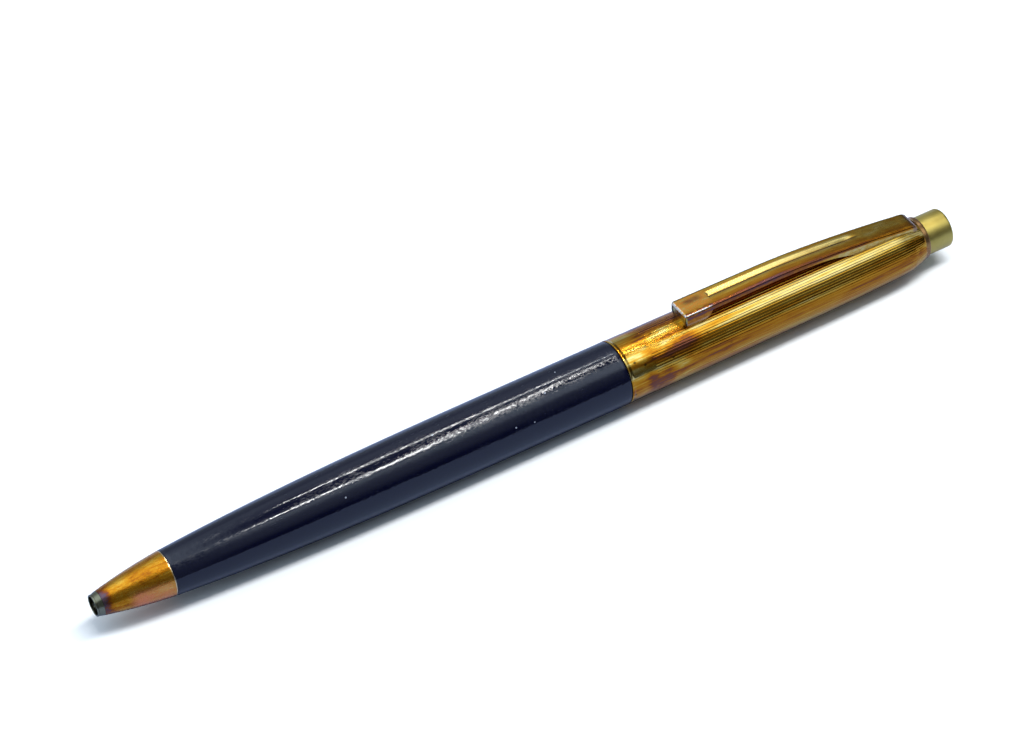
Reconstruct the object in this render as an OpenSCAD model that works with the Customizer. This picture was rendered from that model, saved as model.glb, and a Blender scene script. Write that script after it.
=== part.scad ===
// Retractable ballpoint pen with a push button, lying along X.
// The tip points to -X, the button to +X and the clip to +Z.
// Distances "s" run along the pen's axis from the mouth of the nose towards the button.

/* [Overall] */
// Length from the mouth of the nose to the end of the button
pen_length = 136; // [134:0.5:140]
// Largest radius, at the mouth of the cap
cap_mouth_r = 4.72; // [4.7:0.01:4.9]
// Distance of the seam between barrel and cap
cap_seam = 80.65; // [79:0.05:81]

/* [Nose and barrel] */
// Radius of the steel ring at its mouth
nose_mouth_r = 1.6; // [1.5:0.05:1.65]
// Radius of the bore that the writing point passes through
nose_bore_r = 1.335; // [1.3:0.005:1.4]
// Distance of the seam between nose cone and barrel
nose_seam = 10.9; // [10.5:0.1:11]
// Radius at the seam between nose cone and barrel
nose_seam_r = 3.25; // [3.2:0.01:3.4]
// Fullness of the nose cone's sides
nose_bulge = 0.4; // [0:0.05:0.6]
// Radius of the straight rear stretch of the barrel
barrel_r = 4.7; // [4.65:0.01:4.7]
// Distance at which the barrel becomes straight
barrel_straight = 65; // [55:1:66]
// How quickly the barrel swells behind the nose
barrel_swell = 2.8; // [2:0.1:3.5]

/* [Cap] */
// Radius of the middle of the cap
cap_mid_r = 4.47; // [4.45:0.01:4.5]
// Wall of the cap shell
cap_wall = 0.35; // [0.25:0.05:0.4]
// Distance of the end face of the cap shell
cap_end = 131; // [130.5:0.1:131]

/* [Clip] */
// Distance of the clip's free end
clip_front = 91.1; // [90:0.1:92]
// Height of the clip's flat top over the pen's axis
clip_height = 6.6; // [6.5:0.05:7]
// Width of the clip at its free end
clip_width = 4; // [3.8:0.1:4.2]
// Width of the clip at its root
clip_root_width = 3.45; // [3.2:0.05:3.6]
// Thickness of the folded sheet
clip_sheet = 0.42; // [0.3:0.02:0.5]
// Depth of the groove along the clip's top
groove_depth = 0.2; // [0.1:0.02:0.25]

/* [Mechanism] */
// Radius of the push button
button_r = 2.9; // [2.8:0.05:2.9]
// Travel of the button to the end of its press
press_travel = 3.6; // [3:0.1:3.6]
// How far the writing point stands out once it is latched
latched_advance = 2.9; // [2.5:0.1:2.9]
// Number of guide channels in the cam sleeve
channels = 4; // [4:1:4]

/* [Refill] */
// Radius of the refill's tube
refill_r = 2.95; // [2.8:0.05:2.95]
// Length of the refill
refill_length = 98; // [97.5:0.1:98]
// Radius of the writing ball
ball_r = 0.5; // [0.35:0.05:0.5]
// How far the ball lies behind the mouth of the nose at rest
ball_recess = 0.7; // [0.5:0.1:0.8]

/* [Hidden] */

// Fits and gaps
seam_gap = 0.05;
slide_gap = 0.06;
cap_clear = 0.12;

// Nose
ring_length = 1;
ring_rear_r = 1.74;
ring_spigot_r = 1.5;
ring_spigot_end = 3.4;
point_bore_r = 1.42;
chamber_start = 7;
chamber_r = 2.35;
spigot_r = 2.75;
spigot_end = 15.9;

// Barrel
front_bore_r = 2.5;
main_bore_r = 3.1;
thread_seat = 71;
thread_seat_r = 3.95;

// Threads, drawn as rings
thread_end = 90;
thread_major_r = 3.8;
thread_depth = 0.22;
thread_pitch = 0.8;
thread_turns = 8;
thread_start = 82.6;
bush_start = 81.6;
bush_end = 91.6;
bush_bore_r = thread_major_r + slide_gap;
bush_outer_r = 4.2;

// Cap
taper_start = 110;
taper_length = 21;
taper_drop = 0.5;
shoulder_start = 127.5;
shoulder_drop = 0.63;
shoulder_power = 1.6;
cap_floor = 130.3;
cap_hole_r = 3;
liner_end = 119.5;
sleeve_r = 3.68;

// Top bush, which guides the button
guide_start = 124;
guide_bore_r = button_r + slide_gap;
bush_flange_r = 3.78;
bush_flange_length = 1.8;
bush_body_r = 3.3;
bush_body_length = 4.8;
bush_nip_r = 3.12;

// Collar round the button
collar_r = 3.22;
collar_length = 0.8;
collar_edge_r = 0.25;

// Clip
clip_end = 130.5;
clip_top_end = 129.5;
clip_end_height = 3.5;
clip_bend = 105;
clip_drop = 1.95;
clip_drop_length = 22.5;
clip_drop_power = 1.65;
clip_wall_depth = 0.8;
clip_deep_wall = 2;
deepening_start = 113;
deepening_end = 119.5;
nip_length = 0.6;
nip_depth = 0.35;
tail_length = 4.2;
tail_depth = 2.25;
tail_radius = 1.4;
tail_corner = 0.7;
edge_radius = 0.45;
groove_start = 96;
groove_end = 119.2;
groove_front_width = 1.4;
groove_rear_width = 0.45;
tab_start = 127.6;
tab_length = 1;
tab_width = 1.8;
tab_bottom = 3.5;
tab_slot_gap = 0.25;

// Cam sleeve, plunger and rotor
sleeve_start = 100;
sleeve_bore_r = 2.75;
rib_r = 2.65;
guide_rib_r = 2.38;
rotor_rib_r = guide_rib_r - seam_gap;
rotor_body_r = 1.8;
guide_rib_start = 108.6;
rotor_tooth_s = guide_rib_start + latched_advance;
rib_angle = 34;
guide_rib_angle = 45;
tooth_height = 0.6;
teeth = 2 * channels;
plunger_r = 2.2;
plunger_bore_r = 1.2;
plunger_end = 134.6;
skirt_start = 122.9;
sleeve_end = skirt_start - press_travel - 0.3;
flange_r = 3.2;
flange_length = 1;
button_edge = 0.3;
button_crown = 0.08;

// Refill
refill_end = ball_recess + refill_length;
tube_start = 22.5;
main_bore_start = tube_start - press_travel - 0.7;
tube_end = refill_end - 1.7;
tube_wall = 0.35;
neck_r = 1.6;
neck_start = 12;
neck_end = 24.5;
shank_r = 1.2;
shank_start = 3.3;
ink_bore_r = 0.35;
ball_s = ball_recess + ball_r;
ball_seat_r = ball_r + 0.015;
ink_start = 24.8;
ink_end = 86;

// Return spring
spring_start = chamber_start + 0.12;
spring_end = tube_start - 0.12;
spring_r = 2;
spring_wire_r = 0.2;
spring_turns = 10;
spring_steps = 18;
spring_sides = 8;

// Outer radius of the nose cone at distance s
function nose_r(s) =
    let (t = (s - ring_length) / (nose_seam - ring_length))
    ring_rear_r + (nose_seam_r - ring_rear_r) * t * (1 + nose_bulge * (1 - t));

// Outer radius of the barrel at distance s
function barrel_radius(s) =
    let (t = min(1, (s - nose_seam) / (barrel_straight - nose_seam)))
    barrel_r - (barrel_r - nose_seam_r) * pow(1 - t, barrel_swell);

// Outer radius of the cap at distance s
function cap_radius(s) =
    let (
        front = min(1, (s - cap_seam) / (taper_start - cap_seam)),
        rear = max(0, (s - taper_start) / taper_length),
        edge = max(0, (s - shoulder_start) / (cap_end - shoulder_start))
    )
    cap_mouth_r + (cap_mid_r - cap_mouth_r) * front
        - taper_drop * rear * rear - shoulder_drop * pow(edge, shoulder_power);

// Height of the clip's top face at distance s
function clip_top(s) =
    clip_height - clip_drop * pow(max(0, (s - clip_bend) / clip_drop_length), clip_drop_power);

// Points on a circle, from angle a to angle b
function arc(x, y, r, a, b, n = 6) =
    [for (i = [0:n]) let (t = a + (b - a) * i / n) [x + r * cos(t), y + r * sin(t)]];

// Stands the children's Z axis along the pen's axis, with z = s
module on_axis() {
    translate([-pen_length / 2, 0, cap_mouth_r]) rotate([0, 90, 0]) children();
}

// A turned piece from an outline of [s, radius] points
module turned(outline) {
    on_axis() rotate_extrude($fn = 96) polygon([for (p = outline) [p[1], p[0]]]);
}

// A tube from distance a to b
module tube(a, b, outer, inner) {
    turned([[a, inner], [b, inner], [b, outer], [a, outer]]);
}

// An outline of [s, height over the axis] points, extruded across the pen
module side_outline(outline, width) {
    translate([-pen_length / 2, width / 2, cap_mouth_r])
        rotate([90, 0, 0])
            linear_extrude(width) polygon(outline);
}

// An outline of [s, y] points, extruded upwards from the axis
module top_outline(outline, height) {
    translate([-pen_length / 2, 0, cap_mouth_r]) linear_extrude(height) polygon(outline);
}

// A sector of a ring, centred on the angle a, standing along the axis
module ring_sector(a, width, start, end, outer, inner) {
    reach = 2 * outer;
    rotate([0, 0, a]) translate([0, 0, start]) intersection() {
        difference() {
            cylinder(h = end - start, r = outer, $fn = 96);
            translate([0, 0, -1]) cylinder(h = end - start + 2, r = inner, $fn = 96);
        }
        linear_extrude(end - start)
            polygon([[0, 0], [reach * cos(width / 2), -reach * sin(width / 2)],
                [reach * cos(width / 2), reach * sin(width / 2)]]);
    }
}

// Triangular teeth of a crown, with their points towards the button
module crown_teeth(at, reach) {
    half = reach * tan(180 / teeth);
    for (i = [0:teeth - 1])
        rotate([0, 0, 360 / teeth * (i + 0.5)]) translate([0, 0, at])
            rotate([90, 0, 90])
                linear_extrude(reach) polygon([[-half / 2, 0], [half / 2, 0], [0, tooth_height]]);
}

// Lacquered lower barrel, open at both ends
module barrel() {
    steps = 24;
    color("midnightblue") turned(concat(
        [for (i = [0:steps]) let (s = nose_seam + (barrel_straight - nose_seam) * i / steps)
            [s, barrel_radius(s)]],
        [[cap_seam, barrel_r], [cap_seam, thread_seat_r], [thread_seat, thread_seat_r],
            [thread_seat, main_bore_r], [main_bore_start, main_bore_r],
            [main_bore_start, front_bore_r], [spigot_end, front_bore_r],
            [spigot_end, spigot_r + 0.01], [nose_seam, spigot_r + 0.01]]
    ));
}

// Gold-plated nose cone with its spigot in the barrel
module nose_cone() {
    steps = 10;
    color("goldenrod") turned(concat(
        [for (i = [0:steps]) let (s = ring_length + (nose_seam - ring_length) * i / steps)
            [s, nose_r(s)]],
        [[nose_seam, spigot_r], [spigot_end, spigot_r], [spigot_end, chamber_r],
            [chamber_start, chamber_r], [chamber_start, point_bore_r],
            [ring_spigot_end, point_bore_r], [ring_spigot_end, ring_spigot_r + 0.01],
            [ring_length, ring_spigot_r + 0.01]]
    ));
}

// Steel ring in the mouth of the nose
module nose_ring() {
    color("slategray") turned([
        [0.12, nose_mouth_r - 0.08], [0.35, nose_mouth_r], [ring_length, ring_rear_r],
        [ring_length, ring_spigot_r], [ring_spigot_end, ring_spigot_r],
        [ring_spigot_end, nose_bore_r], [0.15, nose_bore_r], [0, nose_bore_r + 0.08],
        [0, nose_mouth_r - 0.16]
    ]);
}

// Brass screw sleeve in the rear end of the barrel
module barrel_thread() {
    color("darkgoldenrod") difference() {
        turned([
            [thread_seat, main_bore_r], [thread_seat, thread_seat_r - 0.01],
            [cap_seam, thread_seat_r - 0.01], [cap_seam, thread_major_r],
            [thread_end - 0.4, thread_major_r], [thread_end, thread_major_r - 0.3],
            [thread_end, main_bore_r]
        ]);
        for (i = [0:thread_turns - 1])
            thread_ring(thread_start + i * thread_pitch, thread_major_r, -thread_depth);
    }
}

// A V-shaped ring cut inwards (depth < 0) or outwards (depth > 0) from radius r
module thread_ring(s, r, depth) {
    half = thread_pitch / 2;
    over = -sign(depth) * 0.1;
    turned([[s - half, r + over], [s - half, r], [s, r + depth], [s + half, r], [s + half, r + over]]);
}

// Coil spring between the nose cone and the refill's shoulder
module return_spring() {
    rings = spring_turns * spring_steps;
    length = spring_end - spring_start - 2 * spring_wire_r;
    points = [for (i = [0:rings], j = [0:spring_sides - 1])
        let (
            a = 360 * i / spring_steps,
            b = 360 * j / spring_sides,
            u = i / rings,
            ends = 0.12,
            rise = u < ends ? u * 0.45 : u > 1 - ends ? 1 - (1 - u) * 0.45
                : 0.45 * ends + (u - ends) * (1 - 0.9 * ends) / (1 - 2 * ends),
            r = spring_r + spring_wire_r * cos(b)
        )
        [r * cos(a), r * sin(a), spring_start + spring_wire_r + length * rise
            + spring_wire_r * sin(b)]];
    sides = [for (i = [0:rings - 1], j = [0:spring_sides - 1])
        let (k = (j + 1) % spring_sides, m = i * spring_sides)
        [m + j, m + spring_sides + j, m + spring_sides + k, m + k]];
    first = [for (j = [0:spring_sides - 1]) j];
    last = [for (j = [spring_sides - 1:-1:0]) rings * spring_sides + j];
    color("silver") on_axis() polyhedron(points, concat(sides, [first, last]), convexity = 10);
}

// Gold-plated cap shell, with a slot for the clip's tab
module cap_shell() {
    front = cap_seam + seam_gap;
    steps = 30;
    span = cap_floor - front;
    slot = tab_length + 2 * tab_slot_gap;
    color("gold") difference() {
        turned(concat(
            [for (i = [0:steps]) let (s = front + span * i / steps) [s, cap_radius(s)]],
            [[cap_end - 0.2, cap_radius(cap_end - 0.2)], [cap_end, cap_radius(cap_end)],
                [cap_end, cap_hole_r], [cap_floor, cap_hole_r]],
            [for (i = [steps:-1:0]) let (s = front + span * i / steps)
                [s, cap_radius(s) - cap_wall]]
        ));
        translate([tab_start - tab_slot_gap - pen_length / 2, -tab_width / 2 - tab_slot_gap,
            cap_mouth_r + 2])
            cube([slot, tab_width + 2 * tab_slot_gap, 4]);
    }
}

// Plastic liner between the cap shell and the cam sleeve
module cap_liner() {
    steps = 12;
    start = bush_end + 0.1;
    color("dimgray") turned(concat(
        [for (i = [0:steps]) let (s = start + (liner_end - start) * i / steps)
            [s, cap_radius(s) - cap_wall - 0.02]],
        [[liner_end, sleeve_r + 0.02], [start, sleeve_r + 0.02]]
    ));
}

// Brass bush with the cap's inside thread
module cap_thread_bush() {
    color("peru") difference() {
        tube(bush_start, bush_end, bush_outer_r, bush_bore_r);
        for (i = [0:thread_turns - 1])
            thread_ring(thread_start + i * thread_pitch, bush_bore_r, thread_depth);
    }
}

// Fixed sleeve whose ribs guide the plunger and latch the rotor
module cam_sleeve() {
    color("whitesmoke") {
        tube(sleeve_start, sleeve_end, sleeve_r, sleeve_bore_r);
        on_axis() for (i = [0:channels - 1])
            ring_sector(360 / channels * (i + 0.5), guide_rib_angle, guide_rib_start, sleeve_end,
                sleeve_bore_r + 0.1, guide_rib_r);
    }
}

// Brass bush in the end of the cap, in which the button slides
module top_bush() {
    flange_end = guide_start + bush_flange_length;
    end = cap_floor - 0.1;
    color("burlywood") turned([
        [guide_start, guide_bore_r], [guide_start, bush_flange_r], [flange_end, bush_flange_r],
        [flange_end, bush_body_r], [guide_start + bush_body_length, bush_body_r],
        [end, bush_nip_r], [end, guide_bore_r]
    ]);
}

// Thin plated ring around the button at the end of the cap
module clip_collar() {
    collar_end = cap_end + collar_length;
    bore_r = guide_bore_r + 0.02;
    color("rosybrown") turned(concat(
        [[cap_end, bore_r], [cap_end, collar_r]],
        arc(collar_end - collar_edge_r, collar_r - collar_edge_r, collar_edge_r, 90, 0),
        [[collar_end, bore_r]]
    ));
}

// Spring clip, a folded channel with a deep tail that meets the cap
module clip() {
    color("goldenrod") {
        difference() {
            intersection() {
                side_outline(clip_side(0), clip_width + 1);
                top_outline(clip_plan(0), clip_height + 1);
            }
            intersection() {
                side_outline(clip_side(clip_sheet), clip_width + 1);
                top_outline(clip_plan(clip_sheet), clip_height + 1);
            }
            clip_groove();
            cap_room();
        }
        translate([tab_start - pen_length / 2, -tab_width / 2, cap_mouth_r + tab_bottom])
            cube([tab_length, tab_width, clip_top(tab_start + tab_length) - tab_bottom - 0.1]);
    }
}

// Side view of the clip, drawn in from its outside by the sheet's thickness t
function clip_side(t) =
    let (
        steps = 14,
        front = clip_front + t,
        span = clip_top_end - clip_bend,
        open = t > 0 ? clip_deep_wall : 0,
        low = 3,
        corner = [(clip_top_end + clip_end + 0.2) / 2, clip_top(clip_top_end) - 0.3]
    )
    concat(
        [[front, clip_height - tail_depth + tail_corner - open],
            [front, clip_height - t - edge_radius]],
        arc(front + edge_radius, clip_height - t - edge_radius, edge_radius, 180, 90),
        [for (i = [0:steps]) let (s = clip_bend + span * i / steps)
            [s - t * i / steps, clip_top(s) - t]],
        [[corner[0] - t, corner[1] - t], [clip_end - t, clip_end_height - t],
            [clip_end - t, low - open]],
        t > 0 ? [] : clip_edge()
    );

// Lower edge of the clip's side walls, from the root to the tail
function clip_edge() =
    let (
        steps = 4,
        tail = clip_front + tail_length,
        bottom = clip_height - tail_depth,
        extra = clip_deep_wall - clip_wall_depth
    )
    concat(
        [[deepening_end + 1, 3]],
        [for (i = [steps:-1:0])
            let (s = deepening_start + (deepening_end - deepening_start) * i / steps)
            [s, clip_top(s) - clip_wall_depth - extra * pow(i / steps, 2)]],
        [for (s = [deepening_start - 2:-2:clip_bend]) [s, clip_top(s) - clip_wall_depth]],
        [[tail + 0.9, clip_height - clip_wall_depth]],
        arc(tail - tail_radius, bottom + tail_radius, tail_radius, 0, -90),
        arc(clip_front + tail_corner, bottom + tail_corner, tail_corner, 270, 200, 3)
    );

// Top view of the clip, drawn in from its outside by t
function clip_plan(t) =
    let (
        front = clip_front + t,
        w = clip_width / 2 - t,
        root = clip_root_width / 2 - t,
        nip = max(0.5, root - nip_depth),
        bend = clip_end - nip_length
    )
    concat(
        arc(front + edge_radius, -w + edge_radius, edge_radius, 180, 270, 4),
        [[bend, -root], [clip_end, -nip], [clip_end, nip], [bend, root]],
        arc(front + edge_radius, w - edge_radius, edge_radius, 90, 180, 4)
    );

// The tapered groove along the clip's top, at an even depth
module clip_groove() {
    over = 0.5;
    steps = 16;
    span = groove_end - groove_start;
    line = [for (i = [0:steps]) groove_start + span * i / steps];
    intersection() {
        side_outline(concat(
            [for (s = line) [s, clip_top(s) + over]],
            [for (i = [steps:-1:0]) [line[i], clip_top(line[i]) - groove_depth]]
        ), groove_front_width + 1);
        top_outline([[groove_start, -groove_front_width / 2], [groove_end, -groove_rear_width / 2],
            [groove_end, groove_rear_width / 2], [groove_start, groove_front_width / 2]],
            clip_height + 2 * over);
    }
}

// The cap's outer shape with the clearance that the clip keeps from it
module cap_room() {
    steps = 20;
    start = clip_front - 1;
    span = cap_end + 1 - start;
    turned(concat(
        [for (i = [0:steps]) let (s = start + span * i / steps) [s, cap_radius(s) + cap_clear]],
        [[start + span, 0], [start, 0]]
    ));
}

// Brass button with a stop flange on its skirt
module push_button() {
    flange_end = skirt_start + flange_length;
    edge = pen_length - button_edge - button_crown;
    inside = plunger_r + 0.04;
    floor = plunger_end + 0.1;
    color("khaki") turned(concat(
        [[skirt_start, inside], [skirt_start, flange_r], [flange_end, flange_r],
            [flange_end, button_r]],
        arc(edge, button_r - button_edge, button_edge, 90, 12),
        [[pen_length, 1.2], [pen_length, 0], [floor, 0], [floor, inside]]
    ));
}

// Thrust tube fixed in the button, with ribs and crown teeth
module plunger() {
    start = rotor_tooth_s + tooth_height + seam_gap;
    color("ivory") difference() {
        union() {
            tube(start, plunger_end, plunger_r, plunger_bore_r);
            on_axis() for (i = [0:channels - 1])
                ring_sector(360 / channels * i, rib_angle, start + 1.2, sleeve_end - 0.1,
                    rib_r, plunger_r - 0.1);
        }
        on_axis() crown_teeth(start, plunger_r + 1);
    }
}

// Cam follower that turns one step at each press and carries the refill
module rotor() {
    front = refill_end + seam_gap;
    collar = 104;
    rib_start = rotor_tooth_s - 3.5;
    color("lightgray") {
        turned([[front, 0], [front, 1.2], [front + 0.3, 1.5], [collar, 1.5], [collar + 0.6, 2.1],
            [collar + 1.2, 2.1], [collar + 1.2, rotor_body_r], [rib_start, rotor_body_r],
            [rotor_tooth_s, rotor_body_r], [rotor_tooth_s, 0]]);
        on_axis() for (i = [0:channels - 1])
            ring_sector(360 / channels * i, rib_angle, rib_start, rotor_tooth_s,
                rotor_rib_r, rotor_body_r - 0.1);
        on_axis() intersection() {
            crown_teeth(rotor_tooth_s - 0.01, plunger_r + 1);
            difference() {
                cylinder(h = pen_length, r = rotor_body_r, $fn = 96);
                cylinder(h = pen_length, r = plunger_bore_r + 0.05, $fn = 96);
            }
        }
    }
}

// Metal tube of the refill, closed at the front by a shoulder
module refill_tube() {
    bore = refill_r - tube_wall;
    color("lightsteelblue") turned([
        [tube_start, neck_r + 0.01], [tube_start, refill_r - 0.2], [tube_start + 0.2, refill_r],
        [tube_end, refill_r], [tube_end, bore], [tube_start + 0.6, bore],
        [tube_start + 0.6, neck_r + 0.01]
    ]);
}

// Narrow neck between the tube and the writing point
module refill_neck() {
    color("silver") turned([
        [neck_start, shank_r + 0.01], [neck_start, neck_r - 0.15], [neck_start + 0.15, neck_r],
        [neck_end, neck_r], [neck_end, 0.7], [neck_start + 2.1, 0.7],
        [neck_start + 2.1, shank_r + 0.01]
    ]);
}

// Brass writing point with the seat of the ball
module refill_point() {
    lip = ball_recess + 0.25;
    color("darkkhaki") difference() {
        turned([
            [lip, 0], [lip, 0.53], [lip + 0.9, 0.78], [lip + 1, 0.9], [shank_start, shank_r],
            [neck_start + 2, shank_r], [neck_start + 2, 0]
        ]);
        on_axis() translate([0, 0, ball_s]) sphere(r = ball_seat_r, $fn = 48);
        tube(ball_s, neck_start + 3, ink_bore_r, 0);
    }
}

// Lobed plastic plug in the rear end of the refill
module refill_end_plug() {
    lobes = 4;
    lobe_width = 1.9;
    color("lightgray") intersection() {
        union() {
            tube(tube_end - 1.5, tube_end, refill_r - tube_wall - 0.01, 0);
            tube(tube_end, refill_end, 2, 0);
            on_axis() for (i = [0:lobes - 1])
                rotate([0, 0, 360 / lobes * i]) translate([0, -lobe_width / 2, tube_end])
                    cube([refill_r, lobe_width, refill_end - tube_end]);
        }
        tube(tube_end - 2, refill_end, refill_r - 0.05, 0);
    }
}

// Column of ink in the refill's tube
module ink_column() {
    color("navy") tube(ink_start, ink_end, refill_r - tube_wall - 0.02, 0);
}

// Ball of the writing point
module writing_ball() {
    color("gainsboro") on_axis() translate([0, 0, ball_s]) sphere(r = ball_r, $fn = 48);
}

barrel();
nose_cone();
nose_ring();
barrel_thread();
return_spring();
cap_shell();
cap_liner();
cap_thread_bush();
cam_sleeve();
top_bush();
clip_collar();
clip();
push_button();
plunger();
rotor();
refill_tube();
refill_neck();
refill_point();
refill_end_plug();
ink_column();
writing_ball();
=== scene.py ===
"""Looks of a retractable ballpoint pen that lies along X, with its tip at -X and its clip up."""

import math

import bpy
import numpy as np
from mathutils import Matrix, Vector


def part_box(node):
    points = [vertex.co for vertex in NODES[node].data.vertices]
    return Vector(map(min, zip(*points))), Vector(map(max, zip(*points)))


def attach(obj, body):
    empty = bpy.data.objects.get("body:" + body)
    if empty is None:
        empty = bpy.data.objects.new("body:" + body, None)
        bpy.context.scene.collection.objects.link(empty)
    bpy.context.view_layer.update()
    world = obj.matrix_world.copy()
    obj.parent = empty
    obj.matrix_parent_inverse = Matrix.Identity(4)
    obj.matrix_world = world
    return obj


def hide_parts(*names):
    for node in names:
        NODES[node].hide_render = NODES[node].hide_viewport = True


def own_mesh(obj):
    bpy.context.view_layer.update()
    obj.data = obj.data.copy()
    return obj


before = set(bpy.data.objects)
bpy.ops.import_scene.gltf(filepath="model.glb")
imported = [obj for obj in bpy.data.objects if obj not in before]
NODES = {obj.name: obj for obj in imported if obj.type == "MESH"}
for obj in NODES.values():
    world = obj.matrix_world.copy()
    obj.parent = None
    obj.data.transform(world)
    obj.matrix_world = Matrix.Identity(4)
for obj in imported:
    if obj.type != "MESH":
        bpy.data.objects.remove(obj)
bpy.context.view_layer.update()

# ---------------------------------------------------------------- the frame's own sizes
MM = 0.001
AXIS_Z = (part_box("barrel")[0].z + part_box("barrel")[1].z) / 2
MOUTH_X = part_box("nose_ring")[0].x
SKIN_CLEAR = 0.002 * MM  # how far turned pieces stay under the CAD's skin


def vertices(node):
    """A node's vertices as x, distance from the pen's axis, y and z."""
    co = np.array([v.co for v in NODES[node].data.vertices], float)
    return co[:, 0], np.hypot(co[:, 1], co[:, 2] - AXIS_Z), co[:, 1], co[:, 2]


def radii(node, x, reach=0.03 * MM):
    """Smallest and largest radius of a node's vertices near x."""
    xs, rs, _, _ = vertices(node)
    near = rs[np.abs(xs - x) < reach]
    return near.min(), near.max()


def upper_hull(xs, ys):
    """The upper side of the convex hull of points, from low x to high x."""
    highest = {}
    for x, y in zip(np.round(xs, 7), np.round(ys, 7)):
        highest[x] = max(y, highest.get(x, -1.0))
    hull = []
    for p in sorted(highest.items()):
        while len(hull) > 1:
            (ax, ay), (bx, by) = hull[-2], hull[-1]
            if (bx - ax) * (p[1] - ay) < (by - ay) * (p[0] - ax):
                break
            hull.pop()
        hull.append(p)
    return np.array(hull)


def smooth_curve(points):
    """A smooth function of x through the points that never overshoots them."""
    x, y = points[:, 0], points[:, 1]
    step = np.diff(y) / np.diff(x)
    before, after = step[:-1], step[1:]
    same = before * after > 0
    middle = np.where(same, 2 * before * after / np.where(same, before + after, 1.0), 0.0)
    slope = np.concatenate([step[:1], middle, step[-1:]])

    def value(at):
        i = np.clip(np.searchsorted(x, at) - 1, 0, len(x) - 2)
        h = x[i + 1] - x[i]
        t = np.clip((at - x[i]) / h, 0, 1)
        return (
            y[i] * (1 + 2 * t) * (1 - t) ** 2
            + y[i + 1] * t * t * (3 - 2 * t)
            + h * slope[i] * t * (1 - t) ** 2
            + h * slope[i + 1] * t * t * (t - 1)
        )

    return value


def outer_curve(node, low=-1.0, high=1.0):
    """Outer radius of a turned node, just under its CAD skin, as a smooth function of x."""
    xs, rs, _, _ = vertices(node)
    keep = (xs > low) & (xs < high)
    curve = smooth_curve(upper_hull(xs[keep], rs[keep]))
    return lambda x: float(curve(x)) - SKIN_CLEAR


barrel_curve = outer_curve("barrel")
nose_curve = outer_curve("nose_cone", high=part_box("barrel")[0].x + 0.01 * MM)
cap_curve = outer_curve("cap_shell")

FLUTES = 68
FLUTE_DEPTH = 0.024 * MM
FLUTE_AT = math.radians(-33.7)  # place of one groove, from the top towards -Y
BAND_LENGTH = 4.1 * MM
# Distances from the nose's mouth, in millimetres
NOSE_END = (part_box("barrel")[0].x - MOUTH_X) / MM
CAP_MOUTH = (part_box("cap_shell")[0].x - MOUTH_X) / MM
BAND_END = CAP_MOUTH + BAND_LENGTH / MM
CLIP_TIP = (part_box("clip")[0].x - MOUTH_X) / MM
CLIP_ROOT = (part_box("clip")[1].x - MOUTH_X) / MM
CLIP_BEND = 105.0
GROOVE_FRONT, GROOVE_REAR = 96.0, 121.0
# The clip's top lies CLIP_LEVEL over the axis, less CLIP_DROP * (along - CLIP_BEND)^CLIP_POWER
CLIP_LEVEL = (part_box("clip")[1].z - AXIS_Z) / MM
CLIP_POWER = 1.65
CLIP_DROP = 1.95 / 22.5**CLIP_POWER

# ---------------------------------------------------------------- camera
LENS = 139.2  # mm on a 36 mm sensor
CAMERA_PLACE = Vector((-0.1915, -0.3416, 0.3796))
CAMERA_TURN = 28.82  # degrees from +Y towards +X
CAMERA_DIP = 43.24  # degrees below the horizon
CAMERA_ROLL = -3.19


def make_camera():
    data = bpy.data.cameras.new("camera")
    data.lens = LENS
    data.clip_start = 0.01
    camera = bpy.data.objects.new("camera", data)
    bpy.context.scene.collection.objects.link(camera)
    turn = Matrix.Rotation(-math.radians(CAMERA_TURN), 4, "Z")
    dip = Matrix.Rotation(math.radians(90 - CAMERA_DIP), 4, "X")
    roll = Matrix.Rotation(math.radians(CAMERA_ROLL), 4, "Z")
    camera.matrix_world = Matrix.Translation(CAMERA_PLACE) @ turn @ dip @ roll
    bpy.context.scene.camera = camera


make_camera()

# ---------------------------------------------------------------- mesh helpers
SHARP = math.radians(35)


def make_mesh(name, points, faces, material, body, node, slot, sharp=SHARP):
    """A smooth-shaded piece that rides on a body and stands for a CAD node."""
    mesh = bpy.data.meshes.new(name)
    mesh.from_pydata([tuple(p) for p in points], [], [tuple(f) for f in faces])
    mesh.polygons.foreach_set("use_smooth", [True] * len(mesh.polygons))
    mesh.set_sharp_from_angle(angle=sharp)
    mesh.update()
    piece = bpy.data.objects.new(name, mesh)
    bpy.context.scene.collection.objects.link(piece)
    mesh.materials.append(material)
    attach(piece, body)
    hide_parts(node)
    return piece


def even_angles(count):
    return np.arange(count) * 2 * math.pi / count


def ring(x, r, angles):
    """Points round the pen's axis at x; r is one radius or one for each angle."""
    across, over = r * np.sin(angles), AXIS_Z + r * np.cos(angles)
    return list(zip(np.full(len(angles), x), across, over))


def ring_faces(i, j, around):
    """Faces between the rings of points number i and j."""
    a, b = i * around, j * around
    return [(a + k, a + (k + 1) % around, b + (k + 1) % around, b + k) for k in range(around)]


def lathe(outline, angles, shape=None):
    """Points and faces of a closed outline of (x, radius), turned about the pen's axis.
    shape(x, r, angles) gives the radii round the ring at one outline point."""
    points, faces = [], []
    for i, (x, r) in enumerate(outline):
        points += ring(x, r if shape is None else shape(x, r, angles), angles)
        faces += ring_faces(i, (i + 1) % len(outline), len(angles))
    return points, faces


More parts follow.
